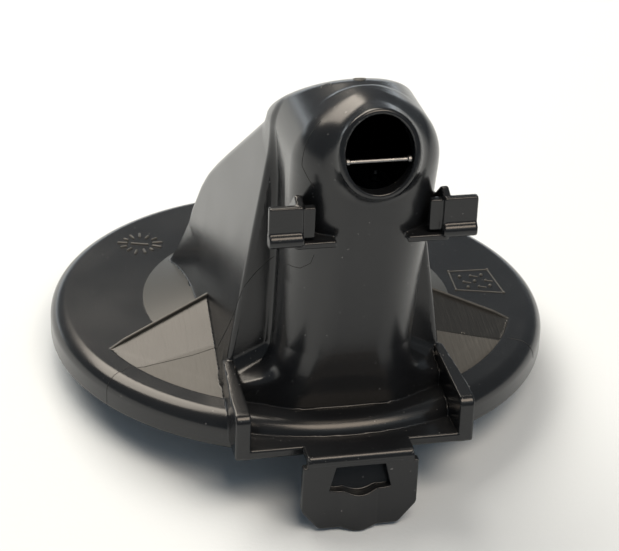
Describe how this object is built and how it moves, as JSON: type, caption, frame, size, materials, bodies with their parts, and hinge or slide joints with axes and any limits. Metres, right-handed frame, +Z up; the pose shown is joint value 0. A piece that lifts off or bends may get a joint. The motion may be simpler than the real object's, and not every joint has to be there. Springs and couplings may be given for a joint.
{
  "type": "suction lid",
  "caption": "Press-on lid for a cleaner's recovery tank: round disc, tapering duct with a leaning hose port, sprung front latch tab; the baffle and float valve inside are guessed.",
  "frame": {"origin": "centre of the rim's underside, on the baffle plate's lower face", "axes": "+X right and -Y towards the hose port and the latch tab, +Z up through the column"},
  "size_m": [0.15, 0.1653, 0.1267],
  "materials": {
    "black_plastic": "satin moulded black",
    "grey_plastic": "moulded grey",
    "white_plastic": "moulded off-white",
    "rubber": "matt",
    "steel": "bright"
  },
  "bodies": {
    "lid": {"hood_shell": "black_plastic", "port_cross_pin": "steel", "baffle_plate": "grey_plastic", "baffle_gasket": "rubber", "baffle_screw_1": "steel", "baffle_screw_2": "steel", "baffle_screw_3": "steel", "baffle_screw_4": "steel", "inlet_grille": "grey_plastic", "float_cage": "grey_plastic", "cage_screw_1": "steel", "cage_screw_2": "steel", "cage_screw_3": "steel", "valve_seat_plate": "grey_plastic", "seat_screw_1": "steel", "seat_screw_2": "steel", "seat_screw_3": "steel", "seat_screw_4": "steel", "seat_seal": "rubber"},
    "latch": {"latch_tab": "black_plastic"},
    "float": {"float_body": "white_plastic", "float_seal_pad": "rubber", "float_pad_screw": "steel"}
  },
  "joints": [
    {"name": "latch_flex", "type": "hinge", "parent": "lid", "child": "latch", "pos_m": [0, -0.0791, 0.00525], "axis": [-1, 0, 0], "range_deg": [0, 10], "stiffness_Nm_per_rad": 1.3},
    {"name": "float_rise", "type": "slide", "parent": "lid", "child": "float", "axis": [0, 0, 1], "range_m": [0, 0.0252]}
  ]
}
